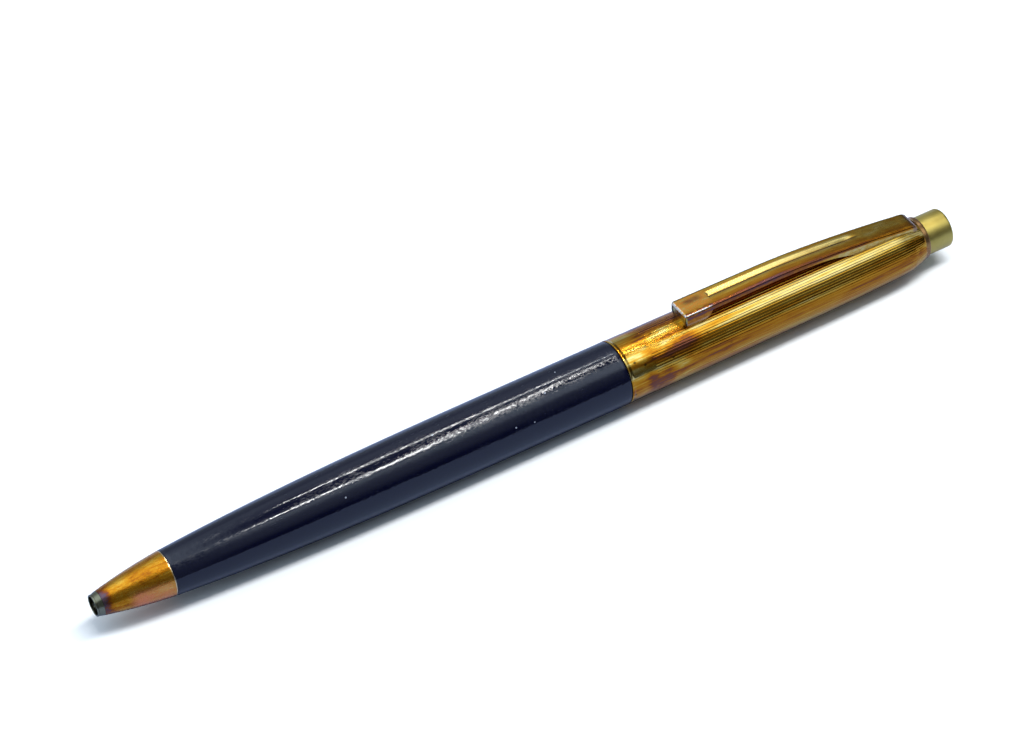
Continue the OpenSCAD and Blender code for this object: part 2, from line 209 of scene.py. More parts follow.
def solid_lathe(outline, around):
    """A turned solid whose outline starts and ends on the axis."""
    inner = outline[1:-1]
    angles = even_angles(around)
    points = []
    for x, r in inner:
        points += ring(x, r, angles)
    faces = []
    for i in range(len(inner) - 1):
        faces += ring_faces(i, i + 1, around)
    first, last = len(points), len(points) + 1
    points += [(outline[0][0], 0, AXIS_Z), (outline[-1][0], 0, AXIS_Z)]
    rear = (len(inner) - 1) * around
    for k in range(around):
        m = (k + 1) % around
        faces.append((first, m, k))
        faces.append((last, rear + k, rear + m))
    return points, faces


def tube_faces(rings, around):
    """Faces that join rings of points, one after the other, into a tube with closed ends."""
    faces = []
    for i in range(rings - 1):
        a, b = i * around, (i + 1) * around
        for j in range(around):
            k = (j + 1) % around
            faces.append((a + j, b + j, b + k, a + k))
    last = (rings - 1) * around
    faces.append(tuple(range(around)))
    faces.append(tuple(last + j for j in reversed(range(around))))
    return faces


def arc(x, r, size, start, end, steps=5):
    """Points (x, radius) on a quarter or part circle, angles in degrees."""
    turn = np.radians(np.linspace(start, end, steps))
    return list(zip(x + size * np.cos(turn), r + size * np.sin(turn)))


def spaced(low, high, step):
    """Evenly spaced values from low to high, about step apart."""
    return np.linspace(low, high, max(2, int(round((high - low) / step)) + 1))


# ---------------------------------------------------------------- material helpers
class Shader:
    """Builds one node-based material from small steps."""

    def __init__(self, name):
        self.material = bpy.data.materials.new(name)
        self.material.use_nodes = True
        self.tree = self.material.node_tree
        self.tree.nodes.clear()
        output = self.tree.nodes.new("ShaderNodeOutputMaterial")
        self.surface = self.tree.nodes.new("ShaderNodeBsdfPrincipled")
        self.tree.links.new(self.surface.outputs[0], output.inputs["Surface"])
        self.place = self.tree.nodes.new("ShaderNodeTexCoord").outputs["Object"]

    def put(self, socket, value):
        if isinstance(value, bpy.types.NodeSocket):
            self.tree.links.new(value, socket)
        else:
            socket.default_value = value

    def math(self, operation, a, b=0.0):
        step = self.tree.nodes.new("ShaderNodeMath")
        step.operation = operation
        for socket, value in zip(step.inputs, (a, b)):
            self.put(socket, value)
        return step.outputs[0]

    def stretch(self, scale, shift=(0, 0, 0)):
        """Object coordinates in millimetres, scaled and shifted."""
        step = self.tree.nodes.new("ShaderNodeMapping")
        self.put(step.inputs["Vector"], self.place)
        step.inputs["Scale"].default_value = [1000 * s for s in scale]
        step.inputs["Location"].default_value = shift
        return step.outputs[0]

    def noise(self, vector, detail=3.0, rough=0.55, twist=0.0):
        step = self.tree.nodes.new("ShaderNodeTexNoise")
        self.put(step.inputs["Vector"], vector)
        step.inputs["Scale"].default_value = 1.0
        step.inputs["Detail"].default_value = detail
        step.inputs["Roughness"].default_value = rough
        step.inputs["Distortion"].default_value = twist
        return step.outputs["Fac"]

    def cells(self, vector):
        step = self.tree.nodes.new("ShaderNodeTexVoronoi")
        step.feature = "F1"
        self.put(step.inputs["Vector"], vector)
        step.inputs["Scale"].default_value = 1.0
        return step.outputs["Distance"]

    def band(self, value, low, high, out_low=0.0, out_high=1.0):
        """A smooth step of value from low to high."""
        step = self.tree.nodes.new("ShaderNodeMapRange")
        step.interpolation_type = "SMOOTHSTEP"
        self.put(step.inputs["Value"], value)
        for name, number in zip(
            ("From Min", "From Max", "To Min", "To Max"), (low, high, out_low, out_high)
        ):
            step.inputs[name].default_value = number
        return step.outputs[0]

    def fall(self, value, low, high):
        """A smooth step down of value from low to high."""
        return self.band(value, low, high, 1.0, 0.0)

    def ramp(self, value, stops):
        step = self.tree.nodes.new("ShaderNodeValToRGB")
        self.put(step.inputs["Fac"], value)
        ramp = step.color_ramp
        while len(ramp.elements) < len(stops):
            ramp.elements.new(0.5)
        for element, (place, colour) in zip(ramp.elements, stops):
            element.position = place
            element.color = (*colour, 1)
        return step.outputs["Color"]

    def mix(self, share, a, b):
        step = self.tree.nodes.new("ShaderNodeMix")
        step.data_type = "RGBA"
        self.put(step.inputs["Factor"], share)
        self.put(step.inputs["A"], a if isinstance(a, bpy.types.NodeSocket) else (*a, 1))
        self.put(step.inputs["B"], b if isinstance(b, bpy.types.NodeSocket) else (*b, 1))
        return next(s for s in step.outputs if s.type == "RGBA")

    def bump(self, height, distance):
        step = self.tree.nodes.new("ShaderNodeBump")
        self.put(step.inputs["Height"], height)
        step.inputs["Distance"].default_value = distance * MM
        return step.outputs["Normal"]

    def set(self, **values):
        names = {
            "colour": "Base Color",
            "rough": "Roughness",
            "metal": "Metallic",
            "normal": "Normal",
            "ior": "IOR",
            "coat": "Coat Weight",
            "coat_rough": "Coat Roughness",
        }
        for key, value in values.items():
            if key == "colour" and not isinstance(value, bpy.types.NodeSocket):
                value = (*value, 1)
            self.put(self.surface.inputs[names[key]], value)
        return self.material

    def axes(self):
        """Object coordinates in millimetres: from the nose's mouth, across, over the axis."""
        split = self.tree.nodes.new("ShaderNodeSeparateXYZ")
        self.put(split.inputs[0], self.place)
        starts = (MOUTH_X, 0.0, AXIS_Z)
        return [
            self.math("MULTIPLY", self.math("SUBTRACT", split.outputs[i], starts[i]), 1000.0)
            for i in range(3)
        ]

    def within(self, value, low, high, soft):
        """1 between low and high, with soft ends."""
        return self.math(
            "MULTIPLY",
            self.band(value, low - soft, low + soft),
            self.fall(value, high - soft, high + soft),
        )

    def times(self, *values):
        product = values[0]
        for value in values[1:]:
            product = self.math("MULTIPLY", product, value)
        return product

    def add(self, base, *factors):
        """base plus the product of the factors."""
        return self.plus(base, self.times(*factors))

    def vary(self, base, pattern, *factors):
        """base plus how far the pattern lies from its middle, 0.5, times the factors."""
        return self.add(base, self.math("SUBTRACT", pattern, 0.5), *factors)

    def limit(self, value, low, high):
        return self.math("MINIMUM", self.math("MAXIMUM", value, low), high)

    def plus(self, *values):
        total = values[0]
        for value in values[1:]:
            total = self.math("ADD", total, value)
        return total


# ---------------------------------------------------------------- materials
def lacquer():
    """Navy-black lacquer, weathered so that its reflections break up, with a few pale specks."""
    s = Shader("navy_lacquer")
    along, _, over = s.axes()
    cloud = s.noise(s.stretch((0.03, 0.12, 0.12)), 2.0)
    colour = s.mix(cloud, (0.0008, 0.0012, 0.0095), (0.0016, 0.0021, 0.0125))
    speck = s.fall(s.cells(s.stretch((0.33, 0.33, 0.33), (3.1, 0.4, 1.7))), 0.03, 0.05)
    colour = s.mix(s.times(speck, 0.8), colour, (0.36, 0.40, 0.46))
    wear = s.noise(s.stretch((0.09, 0.25, 0.25), (2.0, 0, 0)), 2.0)
    wear = s.times(s.band(wear, 0.34, 0.56, 0.55, 1.0), s.band(along, 20.0, 45.0, 0.5, 1.0))
    ripple = s.noise(s.stretch((0.8, 0.8, 0.8)), 2.0, 0.5)
    nick = s.noise(s.stretch((1.5, 1.9, 1.9), (5.0, 1.0, 0)), 3.0, 0.6)
    swell = s.noise(s.stretch((0.12, 0.2, 0.2)), 1.0)
    scratch = s.band(s.noise(s.stretch((0.35, 7.0, 7.0)), 2.0, 0.6), 0.64, 0.70)
    rub = s.noise(s.stretch((0.5, 9.0, 9.0), (5, 0, 0)), 2.0)
    height = s.plus(s.times(ripple, wear, 0.2), s.times(nick, wear, 0.45), s.times(swell, 0.5))
    height = s.plus(height, s.times(rub, 0.02), s.times(scratch, wear, 0.06))
    chip = s.noise(s.stretch((1.9, 3.6, 3.6), (1.0, 7.0, 3.0)), 3.0, 0.65)
    dash = s.noise(s.stretch((0.22, 0.5, 0.5), (8.0, 2.0, 3.0)), 2.0, 0.5)
    dull = s.times(s.band(chip, 0.48, 0.52), s.band(dash, 0.40, 0.54, 0.25, 1.0))
    dull = s.times(dull, s.band(over, 1.6, 2.6), s.band(wear, 0.1, 0.6, 0.5, 1.0))
    rough = s.plus(0.04, s.times(scratch, 0.08), s.times(dull, 0.21))
    return s.set(colour=colour, rough=rough, metal=0.0, ior=1.5, normal=s.bump(height, 0.038))


# Colours of gold plate under a growing film of tarnish
TARNISH = [
    (0.00, (0.80, 0.60, 0.22)),
    (0.16, (0.70, 0.41, 0.055)),
    (0.32, (0.62, 0.26, 0.012)),
    (0.46, (0.50, 0.165, 0.005)),
    (0.58, (0.30, 0.080, 0.006)),
    (0.70, (0.18, 0.055, 0.040)),
    (0.82, (0.115, 0.080, 0.105)),
    (0.94, (0.20, 0.21, 0.22)),
    (1.00, (0.44, 0.46, 0.46)),
]


def streaks(s, shift, fine_share=0.4):
    """Lengthwise streaks between 0 and 1, about 0.5 on average."""
    wide = s.noise(s.stretch((0.035, 1.2, 1.2), shift), 4.0, 0.6)
    fine = s.noise(s.stretch((0.13, 4.5, 4.5), shift), 3.0, 0.6)
    return s.plus(s.times(wide, 1.0 - fine_share), s.times(fine, fine_share))


def gold_bump(s, shift, dent_size, depth):
    dent = s.noise(s.stretch((1.0, 1.8, 1.8), shift), 3.0, 0.55)
    hair = s.noise(s.stretch((0.4, 9.0, 9.0), shift), 2.0)
    return s.bump(s.plus(s.times(dent, dent_size), s.times(hair, 0.25)), depth)


def cap_gold():
    """Gold plate of the cap, with grime in the flutes and old stains near the mouth."""
    s = Shader("cap_gold")
    along, across, over = s.axes()
    shift = (1.3, 4.2, 0.6)
    line = streaks(s, shift, 0.45)
    patch = s.noise(s.stretch((0.10, 0.35, 0.35), (3.0, 1.0, 2.0)), 4.0, 0.6, 0.4)
    grain = s.noise(s.stretch((0.9, 2.4, 2.4), (1.0, 6.0, 2.0)), 4.0, 0.65)
    mouth = s.band(along, CAP_MOUTH + 5.3, CAP_MOUTH + 20.3, 1.0, 0.25)
    turn = s.math("ARCTAN2", across, over)
    film = s.vary(0.30, line, 1.5)
    film = s.vary(film, patch, mouth, 1.7)
    film = s.vary(film, grain, mouth, 0.3)
    # brown stains at mid height and on top behind the band, and a long darker band low on the near
    # side
    low_patch = s.times(
        s.within(along, CAP_MOUTH + 2.8, CAP_MOUTH + 6.8, 0.8), s.within(over, -1.6, 1.6, 0.8)
    )
    film = s.add(film, low_patch, s.band(patch, 0.3, 0.7, 0.16, 0.30))
    top_patch = s.times(
        s.within(along, CAP_MOUTH + 3.3, CAP_MOUTH + 11.3, 1.2), s.band(over, 2.2, 3.4)
    )
    film = s.add(film, top_patch, s.band(patch, 0.30, 0.6, 0.14, 0.32))
    brown = s.times(
        s.band(along, CAP_MOUTH + 4.3, CAP_MOUTH + 11.3), s.within(turn, -1.62, -1.22, 0.12)
    )
    film = s.add(film, brown, 0.14)
    # painted highlight: the plate is paler in a band along the near shoulder, where the cap's
    # bright reflections lie
    shoulder_highlight = s.within(turn, -0.74, -0.40, 0.05)
    film = s.add(film, shoulder_highlight, -0.17)
    colour = s.ramp(s.limit(film, 0.04, 0.67), TARNISH)
    phase = s.math("COSINE", s.math("MULTIPLY", s.math("SUBTRACT", turn, FLUTE_AT), FLUTES))
    dirt_and_shade = s.times(
        s.band(phase, 0.72, 0.99), s.band(along, BAND_END - 0.1, BAND_END + 0.4),
        s.band(line, 0.38, 0.58, 1.0, 0.1),
    )
    colour = s.mix(s.times(dirt_and_shade, 0.55), colour, (0.060, 0.028, 0.004))
    spots = s.fall(s.cells(s.stretch((0.40, 0.5, 0.5), shift)), 0.05, 0.12)
    colour = s.mix(s.times(spots, mouth, 0.75), colour, (0.016, 0.009, 0.004))
    rough = s.plus(0.08, s.times(grain, 0.12), s.times(dirt_and_shade, 0.2))
    normal = gold_bump(s, shift, 0.7, 0.012)
    return s.set(
        colour=colour, rough=rough, metal=1.0, normal=normal, coat=0.1, coat_rough=0.12
    )


def nose_gold():
    """Gold plate of the nose, purple-brown at the front and coppery near the joint."""
    s = Shader("nose_gold")
    along, _, over = s.axes()
    shift = (7.7, 1.9, 3.3)
    line = streaks(s, shift, 0.5)
    patch = s.noise(s.stretch((0.3, 0.5, 0.5), (6.0, 1.0, 2.0)), 4.0, 0.6)
    grain = s.noise(s.stretch((2.6, 3.6, 3.6)), 3.0, 0.7)
    film = s.vary(0.36, line, 0.9)
    film = s.vary(film, patch, 0.7)
    film = s.vary(film, grain, 0.35)
    front = s.times(s.fall(along, 0.9, 2.9), s.band(patch, 0.30, 0.55, 0.55, 1.0))
    film = s.add(film, front, 0.42)
    copper = s.times(
        s.within(along, NOSE_END - 6.0, NOSE_END - 0.3, 1.0), s.fall(over, 0.8, 1.9)
    )
    colour = s.ramp(s.limit(film, 0.03, 0.80), TARNISH)
    colour = s.mix(s.times(copper, s.band(patch, 0.30, 0.6, 0.45, 0.8)), colour, (0.85, 0.26, 0.11))
    # painted highlight: a pale ring of plate at the nose's rear edge, so that the edge shows a
    # bright line all round
    rim = s.band(along, NOSE_END - 0.22, NOSE_END - 0.08)
    colour = s.mix(s.times(rim, 0.8), colour, (0.90, 0.78, 0.52))
    rough = s.plus(0.17, s.times(grain, 0.18), s.times(front, 0.08))
    normal = gold_bump(s, shift, 1.6, 0.022)
    return s.set(
        colour=colour, rough=rough, metal=1.0, normal=normal, coat=0.1, coat_rough=0.12
    )


def clip_gold():
    """Gold plate of the clip: stained along its near fold, rubbed pale at the tail's foot, with a
    painted silver highlight on the tail's edges.
    """
    s = Shader("clip_gold")
    along, across, over = s.axes()
    drop = s.math("POWER", s.math("MAXIMUM", s.math("SUBTRACT", along, CLIP_BEND), 0.0), CLIP_POWER)
    top = s.math("SUBTRACT", CLIP_LEVEL, s.times(drop, CLIP_DROP))
    depth = s.math("SUBTRACT", top, over)
    shift = (2.4, 8.8, 5.1)
    line = streaks(s, shift)
    patch = s.noise(s.stretch((0.35, 0.7, 0.7), (4.0, 2.0, 1.0)), 4.0, 0.6, 0.5)
    grain = s.noise(s.stretch((1.4, 3.0, 3.0), (1.0, 3.0, 7.0)), 4.0, 0.65)
    film = s.vary(0.20, line, 0.9)
    film = s.vary(film, patch, 0.35)
    # the near strip is orange, the near fold slate to red-brown, and both fade to the root
    strip = s.fall(across, -1.25, -0.35)
    film = s.add(film, strip, 0.19)
    fold = s.times(s.fall(across, -1.62, -1.30), s.fall(depth, 0.45, 0.75))
    fade = s.plus(s.band(along, 104.0, 112.0, 0.25, 0.20), s.band(along, 117.0, 123.0, 0.0, -0.14))
    film = s.add(film, fold, fade)
    tail = s.fall(along, CLIP_TIP + 4.3, CLIP_TIP + 5.3)
    film = s.add(film, tail, s.band(grain, 0.34, 0.66, -0.14, 0.16))
    brown = s.times(tail, s.within(across, 0.1, 0.9, 0.25), s.band(patch, 0.42, 0.52))
    film = s.add(film, brown, 0.25)
    # side walls
    wall = s.band(depth, 0.38, 0.5)
    wall_film = s.plus(s.band(along, 110.0, 118.0, 0.56, 0.10), s.times(tail, 0.06))
    wall_film = s.vary(wall_film, grain, 0.6)
    wall_film = s.add(wall_film, tail, s.band(depth, 0.6, 1.0, 0.12, -0.16))
    film = s.plus(s.times(film, s.math("SUBTRACT", 1.0, wall)), s.times(wall_film, wall))
    colour = s.ramp(s.limit(film, 0.02, 0.88), TARNISH)
    # orange tarnish and one dark smudge on the tail's top
    open_top = s.times(tail, s.math("SUBTRACT", 1.0, wall))
    orange = s.times(open_top, s.band(grain, 0.38, 0.56, 0.25, 0.9), s.band(across, -1.4, -0.9))
    colour = s.mix(orange, colour, (0.95, 0.36, 0.05))
    smudge = s.times(
        open_top, s.within(across, 0.2, 1.0, 0.35),
        s.within(along, CLIP_TIP + 1.3, CLIP_TIP + 3.9, 0.7),
    )
    colour = s.mix(s.times(smudge, s.band(patch, 0.2, 0.7, 0.5, 0.85)), colour, (0.10, 0.03, 0.025))
    # the groove's far flank with a painted highlight, a darker line along the far fold, and painted
    # shade with some dirt along the groove's bottom
    # painted highlight: the groove's far flank is made paler and brighter
    flank = s.times(
        s.within(across, 0.25, 1.0, 0.15), s.within(along, GROOVE_FRONT, GROOVE_REAR - 1.0, 0.4)
    )
    colour = s.mix(s.times(flank, s.band(line, 0.40, 0.62, 0.85, 0.5)), colour, (1.0, 0.72, 0.23))
    far = s.times(s.band(across, 1.35, 1.75), s.fall(depth, 0.3, 0.5))
    colour = s.mix(s.times(far, 0.75), colour, (0.16, 0.12, 0.02))
    # painted shadow line, with some dirt, along the groove's deepest line
    bottom = s.times(
        s.within(across, -0.12, 0.2, 0.1), s.within(along, GROOVE_FRONT, GROOVE_REAR, 0.3)
    )
    dirt_and_shade = s.times(bottom, s.band(line, 0.35, 0.6, 0.95, 0.5))
    colour = s.mix(dirt_and_shade, colour, (0.05, 0.022, 0.004))
    # pale where the plate is rubbed away at the tail's foot, a painted silver highlight on the
    # tail's near top edge and front edge, then the front and the rear face
    lower_tail = s.times(tail, s.band(depth, 1.35, 1.9), s.band(grain, 0.3, 0.6, 0.5, 0.9))
    colour = s.mix(lower_tail, colour, (0.85, 0.62, 0.36))
    # painted highlight: a silver-white glint along the near top edge and the front edge of the tail
    edge = s.times(
        s.within(across, -1.90, -1.76, 0.04), s.fall(depth, 0.12, 0.24),
        s.fall(along, CLIP_TIP + 3.5, CLIP_TIP + 4.9),
    )
    tip = s.times(
        s.fall(along, CLIP_TIP + 0.12, CLIP_TIP + 0.3), s.fall(depth, 0.20, 0.36)
    )
    edge_glint = s.times(s.math("MAXIMUM", edge, tip), s.band(grain, 0.40, 0.52, 0.1, 1.0))
    colour = s.mix(edge_glint, colour, (0.82, 0.82, 0.78))
    face = s.times(
        s.fall(along, CLIP_TIP + 0.2, CLIP_TIP + 0.32), s.band(depth, 0.30, 0.42)
    )
    face_colour = s.mix(s.band(patch, 0.40, 0.56), (0.48, 0.42, 0.10), (0.20, 0.20, 0.19))
    colour = s.mix(face, colour, face_colour)
    end = s.band(along, CLIP_ROOT - 1.15, CLIP_ROOT - 0.9)
    colour = s.mix(s.times(end, 0.8), colour, (0.34, 0.20, 0.12))
    rough = s.plus(0.15, s.times(grain, 0.14), s.times(edge_glint, 0.1))
    normal = gold_bump(s, shift, 0.8, 0.012)
    return s.set(
        colour=colour, rough=rough, metal=1.0, normal=normal, coat=0.2, coat_rough=0.12
    )


def satin_brass():
    """Dull olive brass with fine turned marks."""
    s = Shader("satin_brass")
    ring = s.noise(s.stretch((9.0, 0.4, 0.4)), 2.0, 0.6)
    cloud = s.noise(s.stretch((0.5, 0.5, 0.5)), 3.0)
    colour = s.mix(cloud, (0.52, 0.37, 0.075), (0.72, 0.54, 0.14))
    rough = s.plus(0.32, s.times(cloud, 0.12))
    normal = s.bump(s.plus(ring, s.times(cloud, 0.6)), 0.004)
    return s.set(colour=colour, rough=rough, metal=1.0, normal=normal)


def metal(name, dark, light, roughness, marks=(6.0, 0.5, 0.5), depth=0.004):
    """Turned or drawn metal with marks and slight discolouring."""
    s = Shader(name)
    line = s.noise(s.stretch(marks), 2.0, 0.6)
    cloud = s.noise(s.stretch((0.4, 0.7, 0.7)), 3.0)
    colour = s.mix(cloud, dark, light)
    rough = s.plus(roughness - 0.06, s.times(cloud, 0.14))
    normal = s.bump(line, depth)
    return s.set(colour=colour, rough=rough, metal=1.0, normal=normal)


def plastic(name, dark, light, roughness=0.45):
    """Moulded plastic with a faint grain."""
    s = Shader(name)
    cloud = s.noise(s.stretch((0.5, 0.5, 0.5)), 3.0)
    grain = s.noise(s.stretch((8.0, 8.0, 8.0)), 2.0)
    colour = s.mix(cloud, dark, light)
    rough = s.plus(roughness - 0.05, s.times(grain, 0.12))
    return s.set(colour=colour, rough=rough, metal=0.0, normal=s.bump(grain, 0.006))


NAVY = lacquer()
CAP_GOLD = cap_gold()
NOSE_GOLD = nose_gold()
CLIP_GOLD = clip_gold()
BUTTON_BRASS = satin_brass()
COLLAR = metal("collar_plate", (0.26, 0.12, 0.035), (0.50, 0.27, 0.11), 0.26)
NOSE_STEEL = metal("nose_steel", (0.10, 0.10, 0.06), (0.27, 0.26, 0.18), 0.22)
SPRING_STEEL = metal("spring_steel", (0.42, 0.42, 0.43), (0.62, 0.62, 0.64), 0.25)
TURNED_BRASS = metal("turned_brass", (0.50, 0.35, 0.12), (0.72, 0.55, 0.24), 0.28)
REFILL_METAL = metal(
    "refill_metal", (0.45, 0.46, 0.47), (0.66, 0.67, 0.68), 0.24, (0.3, 7.0, 7.0)
)
BALL_STEEL = metal("ball_steel", (0.55, 0.55, 0.57), (0.75, 0.75, 0.77), 0.1)
WHITE_PLASTIC = plastic("white_plastic", (0.62, 0.62, 0.57), (0.78, 0.78, 0.74))
GREY_PLASTIC = plastic("grey_plastic", (0.03, 0.03, 0.032), (0.06, 0.06, 0.064))
INK = plastic("ink", (0.004, 0.006, 0.05), (0.008, 0.012, 0.09), 0.2)

CARRIED = {
    "cap_liner": GREY_PLASTIC,
    "cap_thread_bush": TURNED_BRASS,
    "cam_sleeve": WHITE_PLASTIC,
    "top_bush": TURNED_BRASS,
    "plunger": WHITE_PLASTIC,
    "rotor": GREY_PLASTIC,
    "refill_tube": REFILL_METAL,
    "refill_neck": REFILL_METAL,
    "refill_point": TURNED_BRASS,
    "refill_end_plug": GREY_PLASTIC,
    "ink_column": INK,
    "writing_ball": BALL_STEEL,
}


def dress(node, material):
    """Gives a carried-over CAD node its material."""
    data = NODES[node].data
    data.materials.clear()
    data.materials.append(material)


for carried_node, carried_material in CARRIED.items():
    dress(carried_node, carried_material)

# ---------------------------------------------------------------- barrel side
EDGE = 0.1 * MM  # rounding of turned edges
SEAM = 0.06 * MM  # dark gap that the barrel leaves at its rear end
AROUND = even_angles(160)


def make_barrel():
    low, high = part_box("barrel")[0].x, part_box("barrel")[1].x - SEAM
    spigot = radii("nose_cone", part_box("nose_cone")[1].x)[1] + 0.01 * MM
    seat_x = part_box("barrel_thread")[0].x
    bore, seat = radii("barrel_thread", seat_x)
    seat += 0.01 * MM
    spigot_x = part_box("nose_cone")[1].x
    skin = [(x, barrel_curve(x)) for x in spaced(low + EDGE, high - EDGE, 0.5 * MM)]
    outline = (
        arc(low + EDGE, skin[0][1] - EDGE, EDGE, 180, 90, 4)[:-1]
        + skin
        + arc(high - EDGE, skin[-1][1] - EDGE, EDGE, 90, 0, 4)[1:]
        + [(high, seat), (seat_x, seat), (seat_x, bore), (spigot_x + 3 * MM, bore)]
        + [(spigot_x + 2 * MM, spigot), (low, spigot)]
    )
    make_mesh("barrel_lacquered", *lathe(outline, AROUND), NAVY, "barrel", "barrel", "navy_lacquer")


def make_nose():
    low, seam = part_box("nose_cone")[0].x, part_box("barrel")[0].x
    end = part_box("nose_cone")[1].x
    chamber, spigot = radii("nose_cone", end)
    front_bore = radii("nose_cone", low)[0]
    skin = [(x, nose_curve(x)) for x in spaced(low + EDGE, seam - EDGE, 0.25 * MM)]
    outline = (
        [(low, skin[0][1] - EDGE)]
        + skin
        + arc(seam - EDGE, skin[-1][1] - EDGE, EDGE, 90, 0, 4)[1:]
        + [(seam, spigot), (end - 0.2 * MM, spigot), (end, spigot - 0.15 * MM)]
        + [(end, chamber), (low + 6 * MM, chamber), (low + 6 * MM, front_bore)]
        + [(low, front_bore)]
    )
    make_mesh(
        "nose_cone_gold", *lathe(outline, AROUND), NOSE_GOLD, "barrel", "nose_cone", "gold_plate"
    )


def make_nose_ring():
    low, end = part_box("nose_ring")[0].x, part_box("nose_ring")[1].x
    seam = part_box("nose_cone")[0].x
    bore = radii("nose_ring", low + 0.15 * MM)[0]
    mouth, rear = radii("nose_ring", low)[1], radii("nose_ring", seam)[1]
    spigot = radii("nose_ring", end)[1]
    lip = 0.22 * MM
    outline = (
        arc(low + 0.1 * MM, mouth, 0.1 * MM, 180, 90, 4)
        + [(low + lip, mouth + 0.11 * MM), (low + lip + 0.06 * MM, mouth + 0.06 * MM)]
        + [(low + lip + 0.14 * MM, mouth + 0.12 * MM), (seam, rear), (seam, spigot)]
        + [(end, spigot), (end, bore), (low + 0.12 * MM, bore)]
        + arc(low + 0.1 * MM, bore + 0.1 * MM, 0.1 * MM, 270, 180, 4)
    )
    make_mesh(
        "nose_ring_steel", *lathe(outline, even_angles(96)), NOSE_STEEL, "barrel",
        "nose_ring", "nose_steel",
    )


THREAD_PITCH = 0.8 * MM
THREAD_DEPTH = 0.26 * MM


def make_barrel_thread():
    """The brass screw sleeve, with a real helix on the stretch that stands out."""
    low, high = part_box("barrel_thread")[0].x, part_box("barrel_thread")[1].x
    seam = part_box("barrel")[1].x
    bore, seat = radii("barrel_thread", low)
    major = radii("barrel_thread", high - 0.4 * MM)[1]
    start, stop = seam + 1.0 * MM, high - 0.7 * MM

    def thread(x, r, angles):
        if r < major - 0.01 * MM or not start <= x <= stop:
            return np.full(len(angles), r)
        fade = min(1.0, (x - start) / THREAD_PITCH, (stop - x) / THREAD_PITCH)
        phase = (x / THREAD_PITCH - angles / (2 * math.pi)) % 1.0
        tooth = np.clip(2.6 * np.abs(phase - 0.5) - 0.15, 0, 1)
        return r - THREAD_DEPTH * fade * (1 - tooth)

    outline = (
        [(low, seat), (seam - 0.01 * MM, seat), (seam, major)]
        + [(x, major) for x in spaced(seam + 0.1 * MM, high - 0.4 * MM, THREAD_PITCH / 10)]
        + [(high, major - 0.3 * MM), (high, bore), (low, bore)]
    )
    make_mesh(
        "barrel_screw", *lathe(outline, even_angles(96), thread), TURNED_BRASS, "barrel",
        "barrel_thread", "turned_brass",
    )


SPRING_TURNS = 10
SPRING_WIRE = 0.2 * MM


def make_spring():
    """The return spring: a coil with close end turns."""
    low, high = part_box("return_spring")
    mean = (high.y - low.y) / 2 - SPRING_WIRE
    sides, per_turn = 12, 36
    rings = SPRING_TURNS * per_turn
    length = high.x - low.x - 2 * SPRING_WIRE
    close = 0.12
    points = []
    for i in range(rings + 1):
        u = i / rings
        if u < close:
            rise = 0.45 * u
        elif u > 1 - close:
            rise = 1 - 0.45 * (1 - u)
        else:
            rise = 0.45 * close + (u - close) * (1 - 0.9 * close) / (1 - 2 * close)
        turn = 2 * math.pi * i / per_turn
        for j in range(sides):
            round_ = 2 * math.pi * j / sides
            r = mean + SPRING_WIRE * math.cos(round_)
            x = low.x + SPRING_WIRE + length * rise + SPRING_WIRE * math.sin(round_)
            points.append((x, r * math.sin(turn), AXIS_Z + r * math.cos(turn)))
    coil = make_mesh(
        "return_coil", points, tube_faces(rings + 1, sides), SPRING_STEEL, "barrel",
        "return_spring", "spring_steel",
    )
    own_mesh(coil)


# ---------------------------------------------------------------- cap side
# Places of the mesh's edges across one flute, closer together in its groove at 0
FLUTE_STEPS = (-0.34, -0.2, -0.115, -0.05, 0.0, 0.05, 0.115, 0.2, 0.34, 0.5)


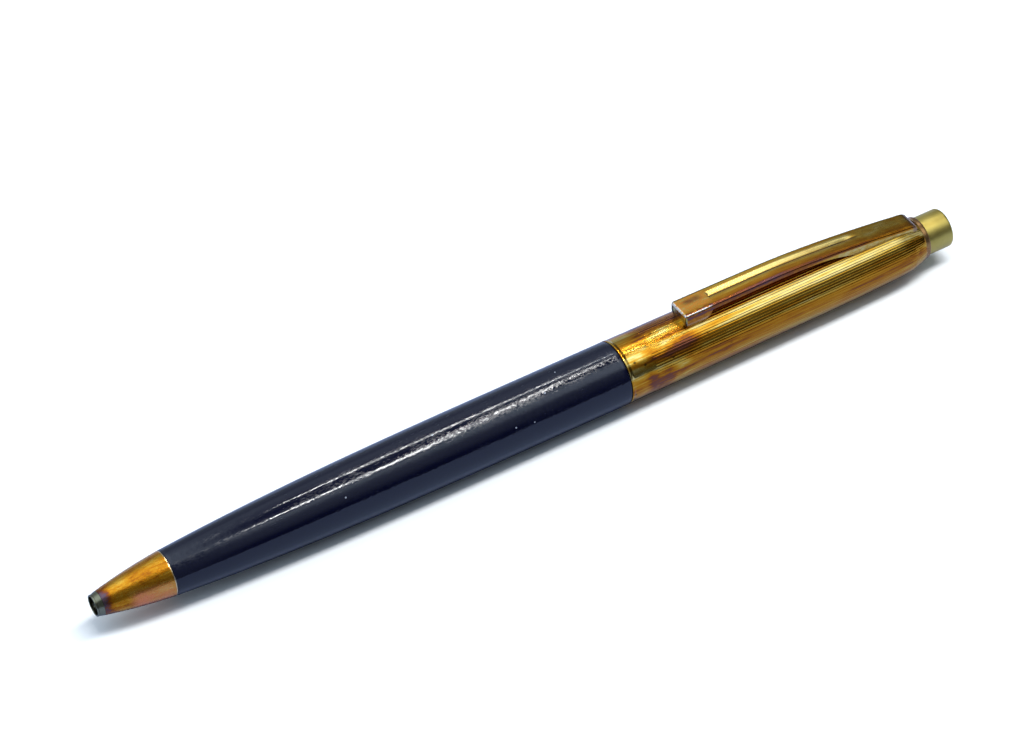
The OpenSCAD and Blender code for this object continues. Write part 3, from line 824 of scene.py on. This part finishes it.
def make_cap():
    """The cap shell: a plain band with a thin lip, then fine flutes to its end."""
    low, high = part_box("cap_shell")[0].x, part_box("cap_shell")[1].x
    wall = cap_curve(low + 1 * MM) - radii("cap_shell", low)[0]
    hole = radii("cap_shell", high)[0]
    floor = high - 0.7 * MM
    band = low + BAND_LENGTH
    lip, dip, round_ = 0.32 * MM, 0.035 * MM, 0.07 * MM

    def outer(x):
        return cap_curve(min(max(x, low), high))

    def flutes(x, r, angles):
        if r < outer(x) - 0.1 * MM or x < band:
            return np.full(len(angles), r)
        start = min(1.0, (x - band) / (0.25 * MM))
        end = min(1.0, max(0.0, (high - 0.25 * MM - x) / (0.9 * MM)))
        groove = (0.5 + 0.5 * np.cos(FLUTES * (angles - FLUTE_AT))) ** 9
        number = np.round((angles - FLUTE_AT) * FLUTES / (2 * math.pi)) % FLUTES
        uneven = 0.4 + 0.6 * (number * 0.618 % 1.0)
        return r - FLUTE_DEPTH * start * end * groove * uneven

    outline = arc(low + round_, outer(low) - round_, round_, 180, 90, 4)
    outline += [(low + lip, outer(low + lip)), (low + lip + 0.04 * MM, outer(low + lip) - dip)]
    outline += [(x, outer(x) - dip) for x in spaced(low + lip + 0.3 * MM, band, 0.5 * MM)]
    for x in spaced(band + 0.06 * MM, band + 0.3 * MM, 0.06 * MM):
        outline.append((x, outer(x) - dip))
    for x in spaced(band + 0.6 * MM, high - 3.6 * MM, 0.9 * MM):
        outline.append((x, outer(x) - dip * max(0.0, 1 - (x - band) / (6 * MM))))
    outline += [(x, outer(x)) for x in spaced(high - 3.4 * MM, high - 0.1 * MM, 0.2 * MM)]
    outline += [(high, outer(high) - 0.06 * MM), (high, hole), (floor, hole)]
    outline += [(x, outer(x) - wall) for x in spaced(low, floor, 2.5 * MM)[::-1]]
    shares = np.add.outer(np.arange(FLUTES), FLUTE_STEPS).ravel() / FLUTES
    make_mesh(
        "cap_fluted", *lathe(outline, FLUTE_AT + 2 * math.pi * shares, flutes), CAP_GOLD, "cap",
        "cap_shell", "gold_plate", sharp=math.radians(50),
    )


def make_collar():
    low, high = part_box("clip_collar")[0].x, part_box("clip_collar")[1].x
    inner, outer = radii("clip_collar", low)
    edge = 0.3 * MM
    outline = (
        [(low, inner), (low, outer)]
        + arc(high - edge, outer - edge, edge, 90, 0, 8)
        + [(high, inner + 0.03 * MM), (high - 0.03 * MM, inner)]
    )
    make_mesh("end_collar", *lathe(outline, AROUND), COLLAR, "cap", "clip_collar", "collar_plate")


def make_button():
    """The push button, with a softly rounded end and its skirt inside the cap."""
    low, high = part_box("push_button")[0].x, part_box("push_button")[1].x
    bore, flange = radii("push_button", low)
    skirt = low + 1.0 * MM
    radius = radii("push_button", high - 0.4 * MM, 0.1 * MM)[1]
    floor = high - 1.3 * MM
    rim, crown, chamfer = 0.42 * MM, 0.09 * MM, 0.08 * MM
    flat = radius - rim
    top = [(high - crown * (r / flat) ** 2, r) for r in np.linspace(flat, 0.2 * MM, 8)]
    outline = (
        [(floor, 0.0), (floor, bore), (low, bore), (low, flange - chamfer), (low + chamfer, flange)]
        + [(skirt - chamfer, flange), (skirt, flange - chamfer), (skirt, radius)]
        + [(x, radius) for x in spaced(skirt + 1 * MM, high - rim - crown, 2 * MM)]
        + arc(high - rim - crown, flat, rim, 90, 10, 8)[1:]
        + top[1:]
        + [(high, 0.0)]
    )
    make_mesh(
        "push_button_brass", *solid_lathe(outline, 128), BUTTON_BRASS, "button",
        "push_button", "button_brass",
    )


# ---------------------------------------------------------------- clip
CLIP_SHEET = 0.42 * MM
CLIP_FOLD = 0.38 * MM  # outer radius of the folds along the top
CLIP_CLEAR = 0.05 * MM
FRONT_ROUND = 0.3 * MM  # rounding of the top's front edge
PLAN_ROUND = 0.38 * MM  # rounding of the front corners seen from above
WALL_DEPTH = 0.78 * MM
TAIL_DEPTH, TAIL_CORNER = 2.25 * MM, 0.7 * MM
TAIL_FLAT, TAIL_END = 2.2 * MM, 4.4 * MM  # from the clip's front
TAIL_CURL = 0.55 * MM  # rounding of the tail's lower corners seen from the front
GROOVE_DEEP = 0.17 * MM
TONGUE_SEAM = 0.05 * MM
# Places of the sections in millimetres from the front and from the rear, closer at the curves
FRONT_STEPS = (0.0, 0.015, 0.045, 0.09, 0.15, 0.22, 0.31, 0.42, 0.55, 0.7)
REAR_STEPS = (1.15, 1.05, 1.0, 0.95, 0.8, 0.6, 0.4, 0.25, 0.12, 0.04, 0.0)


def rounded(distance, radius):
    """How far a quarter circle of the given radius lies back at a distance from its start."""
    left = min(radius, max(0.0, radius - distance))
    return radius - math.sqrt(radius * radius - left * left)


def tongue(front, half_front, bottom, lip, base):
    """The turned-down tongue that closes the tail's front between the walls, from bottom up to
    lip. Its faces number its points from base."""
    rows, columns, thickness = 12, 16, 0.35 * MM
    points, faces = [], []
    for side in range(2):
        for i in range(rows + 1):
            v = i / rows
            z = bottom + (lip - bottom) * v
            wide = half_front - CLIP_SHEET + 0.1 * MM - TONGUE_SEAM
            wide -= 0.75 * rounded(z - bottom + 0.03 * MM, TAIL_CURL)
            for j in range(columns + 1):
                u = 2 * j / columns - 1
                swell = (1 - u * u) * math.sin(math.pi * min(1.0, 0.25 + 0.75 * v))
                x = front + 0.07 * MM - 0.06 * MM * swell - 0.05 * MM * v**4
                x += 0.12 * MM * rounded((1 - abs(u)) * wide, 0.25 * MM) / (0.25 * MM)
                points.append((max(x, front) + thickness * side, u * wide, z))
    row = columns + 1
    layer = row * (rows + 1)
    for i in range(rows):
        for j in range(columns):
            a = base + i * row + j
            faces.append((a, a + row, a + row + 1, a + 1))
            b = a + layer
            faces.append((b, b + 1, b + row + 1, b + row))
    rim = [base + j for j in range(row)]
    rim += [base + i * row + columns for i in range(1, rows + 1)]
    rim += [base + rows * row + j for j in reversed(range(columns))]
    rim += [base + i * row for i in reversed(range(1, rows))]
    for a, b in zip(rim, rim[1:] + rim[:1]):
        faces.append((a, b, b + layer, a + layer))
    return points, faces


def make_clip():
    """The folded spring clip: top sheet, side walls, groove, rounded tail and tongue."""
    low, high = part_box("clip")
    xs, _, _, zs = vertices("clip")
    top_curve = smooth_curve(upper_hull(xs, zs))
    front, rear = low.x, high.x
    half_front, half_root, nip = high.y, 1.725 * MM, 0.35 * MM
    bend = rear - 0.6 * MM
    deep_start, deep_end = front + 21.9 * MM, front + 28.4 * MM
    level = high.z

    def half_width(x):
        half = half_front + (half_root - half_front) * (x - front) / (bend - front)
        if x > bend:
            share = (x - bend) / (rear - bend)
            half = half_root - nip * (1 - math.sqrt(max(0.0, 1 - share**2)))
        return half - rounded(x - front, PLAN_ROUND)

    def sheet_top(x):
        return float(top_curve(max(x, front + 0.4 * MM))) - rounded(x - front, FRONT_ROUND)

    def cap_top(x, y):
        r = cap_curve(x) + CLIP_CLEAR
        return AXIS_Z + math.sqrt(max(0.0, r * r - y * y))

    def foot(x, y):
        """Height of the side wall's lower edge."""
        wall = float(top_curve(x)) - WALL_DEPTH
        if x > deep_start:
            share = (x - deep_start) / (deep_end - deep_start)
            wall += (cap_top(deep_end, y) + WALL_DEPTH - float(top_curve(deep_end))) * share**2
        bottom = level - TAIL_DEPTH
        if x < front + TAIL_FLAT:
            wall = bottom + rounded(x - front, TAIL_CORNER)
        elif x < front + TAIL_END:
            share = (x - front - TAIL_FLAT) / (TAIL_END - TAIL_FLAT)
            wall = bottom + (wall - bottom) * (1 - math.sqrt(max(0.0, 1 - share**2.2)))
        return max(wall, cap_top(x, y))

    def curl(x, rise):
        """How far the tail's wall turns inwards at a height over its foot."""
        fade = min(1.0, max(0.0, 1 - (x - front - TAIL_FLAT) / (TAIL_END - TAIL_FLAT)))
        return 0.6 * fade * rounded(rise, TAIL_CURL * max(fade, 0.3))

    def groove(x, y):
        """Depth of the groove in the top sheet: a gentle far flank and a steep near one."""
        start, stop = MOUTH_X + GROOVE_FRONT * MM, MOUTH_X + GROOVE_REAR * MM
        if not start <= x <= stop:
            return 0.0
        share = (x - start) / (stop - start)
        far, near, bottom = (1.08 - 0.45 * share) * MM, -0.3 * MM, 0.05 * MM
        ends = min(1.0, (x - start) / (0.15 * MM), (stop - x) / (2.0 * MM))
        if y >= far or y <= near:
            return 0.0
        flank = (far - y) / (far - bottom) if y > bottom else (y - near) / (bottom - near)
        return GROOVE_DEEP * ends * min(1.0, flank * 1.08)

    levels = (0.0, 0.08, 0.17, 0.28, 0.41, 0.56, 0.74, 0.9, 1.0)  # shares of the wall's height
    across = [k / 12 for k in range(-12, 13)]

    def section(x):
        """Closed loop of (y, z) round the folded sheet at x."""
        w, top = half_width(x), sheet_top(x)
        fold = min(CLIP_FOLD, w * 0.5)
        low_z = foot(x, w)
        wall_top = top - fold
        sheet = CLIP_SHEET * min(1.0, 0.12 + (x - front) / CLIP_SHEET)
        thick = CLIP_SHEET
        if x <= front + 0.6 * MM:
            thick = min(thick, max(0.08 * MM, w - half_front + PLAN_ROUND + 0.05 * MM))
        side = [
            (w - curl(x, (wall_top - low_z) * v), low_z + (wall_top - low_z) * v) for v in levels
        ]
        turns = [math.pi / 2 * k / 6 for k in range(1, 6)]
        bend_points = [
            (w - fold + fold * math.cos(turn), wall_top + fold * math.sin(turn)) for turn in turns
        ]
        flat = w - fold
        top_line = [(flat * v, top - groove(x, flat * v)) for v in across]
        inner_top = max(top - sheet, low_z + 0.04 * MM)
        inner_side = [
            (y - thick, low_z + (inner_top - 0.02 * MM - low_z) * v)
            for (y, _), v in zip(side, levels)
        ]
        right = side + bend_points
        loop = [(-y, z) for y, z in right] + top_line + right[::-1]
        loop += inner_side
        reach = inner_side[-1][0] - 0.03 * MM
        loop += [(reach * v, inner_top) for v in (1.0, 0.6, 0.2, -0.2, -0.6, -1.0)]
        loop += [(-y, z) for y, z in reversed(inner_side)]
        return loop

    groove_start = MOUTH_X + GROOVE_FRONT * MM
    stations = [front + d * MM for d in FRONT_STEPS]
    stations += list(spaced(front + 0.85 * MM, front + TAIL_END + 0.2 * MM, 0.13 * MM))
    stations += [groove_start + d * MM for d in (-0.02, 0.0, 0.05, 0.1, 0.15)]
    stations += list(spaced(groove_start + 0.4 * MM, bend - 2.4 * MM, 0.5 * MM))
    stations += list(spaced(bend - 2.2 * MM, rear - 1.3 * MM, 0.25 * MM))
    stations += [rear - d * MM for d in REAR_STEPS]
    points = [(x, y, z) for x in stations for y, z in section(x)]
    faces = tube_faces(len(stations), len(points) // len(stations))
    tongue_points, tongue_faces = tongue(
        front, half_front, level - TAIL_DEPTH + 0.12 * MM, sheet_top(front) - 0.01 * MM, len(points)
    )
    points += tongue_points
    faces += tongue_faces
    make_mesh(
        "clip_folded", points, faces, CLIP_GOLD, "clip", "clip", "clip_gold",
        sharp=math.radians(40),
    )


make_barrel()
make_nose()
make_nose_ring()
make_barrel_thread()
make_spring()
make_cap()
make_collar()
make_button()
make_clip()

# ---------------------------------------------------------------- stage and light
def make_floor():
    """A plain pale sheet that throws only a dim, cool light back at the pen."""
    half = 3.0
    mesh = bpy.data.meshes.new("floor")
    corners = [(-half, -half, 0), (half, -half, 0), (half, half, 0), (-half, half, 0)]
    mesh.from_pydata(corners, [], [(0, 1, 2, 3)])
    floor = bpy.data.objects.new("floor", mesh)
    bpy.context.scene.collection.objects.link(floor)
    s = Shader("floor_white")
    cloud = s.noise(s.stretch((0.002, 0.002, 0.002)), 2.0)
    seen = s.mix(cloud, (0.89, 0.905, 0.91), (0.91, 0.925, 0.93))
    direct = s.tree.nodes.new("ShaderNodeLightPath").outputs["Is Camera Ray"]
    colour = s.mix(direct, (0.33, 0.40, 0.60), seen)
    mesh.materials.append(s.set(colour=colour, rough=0.9, metal=0.0))


# Brightness of the studio round the pen, by the angle in degrees from the side that faces
# the camera (0) over the top (90) to the far side (180): square on, towards the button, and
# farther still towards it
STUDIO_SQUARE = [
    (-90, 0.6), (-2, 0.6), (2, 0.2), (20, 0.2), (60, 0.25), (68, 0.5), (75, 1.6), (90, 1.9),
    (112, 1.9), (126, 1.5), (138, 0.8), (160, 0.5), (182, 0.6), (270, 0.6),
]
STUDIO_TIP = [
    (-90, 0.8), (-2, 0.8), (2, 0.03), (14, 0.05), (30, 0.38), (44, 0.5), (52, 0.7), (60, 1.5),
    (68, 1.6), (78, 0.9), (86, 0.1), (96, 0.1), (110, 0.6), (124, 0.7), (138, 0.8), (150, 0.4),
    (168, 0.4), (182, 0.7), (270, 0.8),
]
STUDIO_BUTTON = [
    (-90, 0.8), (-2, 0.8), (2, 0.08), (20, 0.12), (38, 0.16), (47, 0.45), (53, 2.0), (66, 2.3),
    (77, 2.2), (84, 0.6), (91, 0.12), (101, 0.25), (107, 2.1), (118, 2.0), (125, 0.8), (136, 0.55),
    (156, 0.35), (180, 0.7), (270, 0.8),
]
SKY_TINT = (0.72, 0.85, 1.0)
SKY_DIFFUSE = 0.9


def make_world():
    world = bpy.data.worlds.new("studio")
    bpy.context.scene.world = world
    world.use_nodes = True
    tree = world.node_tree
    tree.nodes.clear()
    new, link = tree.nodes.new, tree.links.new

    def calc(operation, a, b=0.0):
        step = new("ShaderNodeMath")
        step.operation = operation
        for socket, value in zip(step.inputs, (a, b)):
            if isinstance(value, bpy.types.NodeSocket):
                link(value, socket)
            else:
                socket.default_value = value
        return step.outputs[0]

    split = new("ShaderNodeSeparateXYZ")
    link(new("ShaderNodeTexCoord").outputs["Generated"], split.inputs[0])
    turn = calc("ARCTAN2", split.outputs[2], calc("MULTIPLY", split.outputs[1], -1.0))
    wrapped = calc("MODULO", calc("ADD", turn, math.radians(450)), math.radians(360))
    share = calc("DIVIDE", wrapped, math.radians(360))
    brightest = max(level for _, level in STUDIO_SQUARE + STUDIO_TIP + STUDIO_BUTTON)

    def sky(levels):
        ramp = new("ShaderNodeValToRGB")
        link(share, ramp.inputs["Fac"])
        elements = ramp.color_ramp.elements
        while len(elements) < len(levels):
            elements.new(0.5)
        for element, (angle, level) in zip(elements, levels):
            element.position = (angle + 90) / 360
            element.color = (*(tint * level / brightest for tint in SKY_TINT), 1)
        return ramp.outputs["Color"]

    def lean(start, end):
        """0 to 1 as the direction leans towards the button, between two angles."""
        step = new("ShaderNodeMapRange")
        step.interpolation_type = "SMOOTHSTEP"
        link(split.outputs[0], step.inputs["Value"])
        step.inputs["From Min"].default_value = math.sin(math.radians(start))
        step.inputs["From Max"].default_value = math.sin(math.radians(end))
        return step.outputs[0]

    def blend(share_of_b, a, b):
        step = new("ShaderNodeMix")
        step.data_type = "RGBA"
        link(share_of_b, step.inputs["Factor"])
        link(a, next(i for i in step.inputs if i.name == "A" and i.type == "RGBA"))
        link(b, next(i for i in step.inputs if i.name == "B" and i.type == "RGBA"))
        return next(o for o in step.outputs if o.type == "RGBA")

    colour = blend(lean(6, 12), sky(STUDIO_SQUARE), sky(STUDIO_TIP))
    colour = blend(lean(19, 24), colour, sky(STUDIO_BUTTON))
    edge = calc("SUBTRACT", 1.0, calc("MULTIPLY", lean(28, 38), 0.7))
    rays = new("ShaderNodeLightPath")
    dim = calc("SUBTRACT", 1.0, calc("MULTIPLY", rays.outputs["Is Diffuse Ray"], 1 - SKY_DIFFUSE))
    background = new("ShaderNodeBackground")
    link(colour, background.inputs["Color"])
    link(calc("MULTIPLY", calc("MULTIPLY", dim, edge), brightest), background.inputs["Strength"])
    plain = new("ShaderNodeBackground")
    plain.inputs["Color"].default_value = (1, 1, 1, 1)
    mix = new("ShaderNodeMixShader")
    link(rays.outputs["Is Camera Ray"], mix.inputs[0])
    link(background.outputs[0], mix.inputs[1])
    link(plain.outputs[0], mix.inputs[2])
    out = new("ShaderNodeOutputWorld")
    link(mix.outputs[0], out.inputs["Surface"])


LAMP_RADIUS = 0.62  # distance of the strip lights from the pen's axis


def lamp_place(along, angle, radius=LAMP_RADIUS):
    """A point at an angle round the pen, as in the studio, and at x = along."""
    a = math.radians(angle)
    return Vector((along, -radius * math.cos(a), AXIS_Z + radius * math.sin(a)))


def strip_light(name, start, end, width, radiance):
    """A soft strip from start to end that faces the pen and lights it by reflection only."""
    data = bpy.data.lights.new(name, "AREA")
    data.shape = "RECTANGLE"
    length = (end - start).length
    data.size, data.size_y = length, width
    data.energy = radiance * math.pi * length * width
    light = bpy.data.objects.new(name, data)
    bpy.context.scene.collection.objects.link(light)
    light.visible_diffuse = False
    middle = (start + end) / 2
    x_axis = (end - start).normalized()
    away = Vector((0, middle.y, middle.z - AXIS_Z))
    away -= x_axis * away.dot(x_axis)
    away.normalize()
    y_axis = away.cross(x_axis)
    turn = Matrix((x_axis, y_axis, away)).transposed().to_4x4()
    light.matrix_world = Matrix.Translation(middle) @ turn
    return light


def floor_light():
    """A long soft lamp right over the pen that lights the floor and keeps the shadow narrow."""
    light = strip_light(
        "overhead", lamp_place(-0.15, 82, 1.0), lamp_place(1.0, 82, 1.0), 0.24, 14.0
    )
    light.visible_diffuse = True
    light.visible_glossy = False


make_floor()
make_world()
strip_light("strip_far", lamp_place(0.11, 109), lamp_place(0.235, 112), 0.009, 95.0)
strip_light("strip_far_end", lamp_place(0.235, 112), lamp_place(0.262, 112), 0.009, 42.0)
strip_light("strip_near", lamp_place(0.08, 75), lamp_place(0.18, 76), 0.011, 105.0)
strip_light("strip_slanted", lamp_place(0.168, 73), lamp_place(0.240, 95), 0.008, 90.0)
strip_light("strip_slanted_end", lamp_place(0.240, 95), lamp_place(0.262, 101), 0.008, 36.0)
floor_light()
bpy.context.scene.view_settings.view_transform = "Standard"
